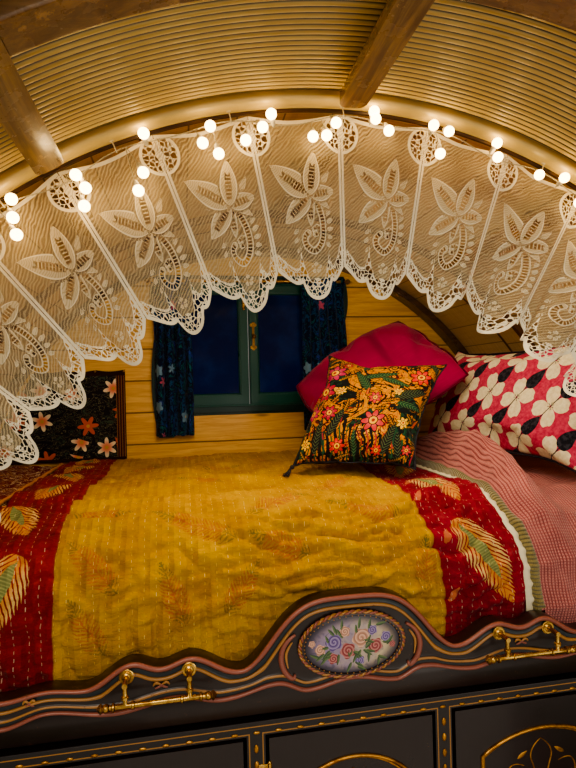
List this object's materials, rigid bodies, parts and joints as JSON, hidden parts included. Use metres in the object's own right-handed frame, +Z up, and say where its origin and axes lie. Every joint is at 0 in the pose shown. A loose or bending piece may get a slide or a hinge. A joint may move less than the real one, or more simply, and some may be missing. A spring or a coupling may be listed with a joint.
{
  "type": "vardo berth section",
  "caption": "Rear berth section of a bow-top vardo living wagon: hooped roof, end wall with casements, boxed bed with pull-out front and cupboards, bedding and lace.",
  "frame": {"origin": "centre of the footprint, at the underside of the sills", "axes": "+Z up, +Y towards the rear end wall, +X to the right when looking at the bed"},
  "size_m": [2.12, 1.65, 1.986],
  "materials": {
    "frame_oak": "oiled hardwood, plain sawn, slightly worn edges",
    "floor_pine": "waxed pine boards, satin",
    "painted_maroon": "gloss coach paint over wood, fine gold lining",
    "painted_green": "gloss coach paint over wood",
    "painted_cream": "old gloss paint over wood",
    "lining_cream": "varnished cream reeded lining, satin",
    "hoop_varnish": "dark varnished ash, glossy with worn gilt sheen",
    "purlin_varnish": "golden brown varnish, glossy",
    "canvas_green": "waxed cotton canvas, plain weave",
    "wall_boards": "honey varnished boards, satin",
    "window_green": "dark green gloss paint",
    "surround_black": "very dark green paint, satin",
    "window_glass": "clear old window glass",
    "brass": "polished brass, slightly aged",
    "curtain_print": "dark cotton with a small floral print",
    "hanging_print": "dark printed cotton with a striped edge",
    "bed_face_dark": "very dark stained hardwood, waxed",
    "door_dark": "very dark stained hardwood with gilt lining",
    "rail_dark": "dark carved hardwood with worn gilt edges",
    "medallion_paint": "painted oval panel, satin varnish",
    "bed_pine": "plain pine boards, unfinished",
    "mattress_ticking": "cotton mattress ticking",
    "quilt_cotton": "layered cotton with running stitch, matte",
    "spread_cotton": "printed cotton, matte",
    "throw_knit": "chunky cotton knit",
    "pillow_print": "printed cotton percale",
    "cushion_magenta": "woven cotton, fine slub",
    "cushion_embroidered": "dark cotton with raised coloured embroidery",
    "lace_cream": "cotton lace, open net",
    "wire_pale": "translucent pale cable",
    "bulb_warm": "frosted globe, lit warm white",
    "box_white": "satin moulded plastic"
  },
  "bodies": {
    "section": {"battery_box": "box_white", "bed_boards": "bed_pine", "bed_cleats": "bed_pine", "bed_face": "bed_face_dark", "bed_spread": "spread_cotton", "curtain_rod": "brass", "curtains": "curtain_print", "embroidered_cushion": "cushion_embroidered", "floor_bearers": "frame_oak", "floor_boards": "floor_pine", "front_hoop": "hoop_varnish", "knitted_throw": "throw_knit", "lace_valance": "lace_cream", "ledge_brackets": "painted_cream", "ledges": "painted_green", "light_bulbs": "bulb_warm", "light_string": "wire_pale", "lower_sides": "painted_maroon", "magenta_cushion": "cushion_magenta", "mattress": "mattress_ticking", "middle_hoop": "lining_cream", "patterned_pillow": "pillow_print", "quilt": "quilt_cotton", "rear_crown_board": "painted_green", "rear_hoop": "hoop_varnish", "rear_rail": "painted_green", "rear_wall": "wall_boards", "rear_wall_lower": "painted_maroon", "roof_canvas": "canvas_green", "roof_lining_front": "lining_cream", "roof_lining_rear": "lining_cream", "roof_purlins": "purlin_varnish", "sills": "frame_oak", "upper_sides": "lining_cream", "valance_hoop": "painted_cream", "waist_rails": "hoop_varnish", "wall_hanging": "hanging_print", "window_frame": "window_green", "window_sill": "window_green", "window_surround": "surround_black"},
    "berth_front": {"bed_rail": "rail_dark", "crest_medallion": "medallion_paint", "pull_handles": "brass", "slide_boards": "bed_pine"},
    "door_left": {"cupboard_door_left": "door_dark", "cupboard_knob_left": "brass"},
    "door_centre": {"cupboard_door_centre": "door_dark", "cupboard_knob_centre": "brass"},
    "door_right": {"cupboard_door_right": "door_dark", "cupboard_knob_right": "brass"},
    "window_left": {"casement_left": "window_green", "glass_left": "window_glass"},
    "window_right": {"casement_right": "window_green", "glass_right": "window_glass", "casement_latch": "brass"}
  },
  "joints": [
    {"name": "berth_slide", "type": "slide", "parent": "section", "child": "berth_front", "axis": [0, -1, 0], "range_m": [0, 0.35]},
    {"name": "door_left_hinge", "type": "hinge", "parent": "section", "child": "door_left", "pos_m": [-0.575, -0.338, 0.5], "axis": [0, 0, -1], "range_deg": [0, 90]},
    {"name": "door_centre_hinge", "type": "hinge", "parent": "section", "child": "door_centre", "pos_m": [-0.158, -0.338, 0.5], "axis": [0, 0, -1], "range_deg": [0, 105]},
    {"name": "door_right_hinge", "type": "hinge", "parent": "section", "child": "door_right", "pos_m": [0.575, -0.338, 0.5], "axis": [0, 0, 1], "range_deg": [0, 90]},
    {"name": "window_left_hinge", "type": "hinge", "parent": "section", "child": "window_left", "pos_m": [-0.302, 0.803, 1.61], "axis": [0, 0, 1], "range_deg": [0, 95]},
    {"name": "window_right_hinge", "type": "hinge", "parent": "section", "child": "window_right", "pos_m": [0.212, 0.803, 1.61], "axis": [0, 0, -1], "range_deg": [0, 95]}
  ]
}
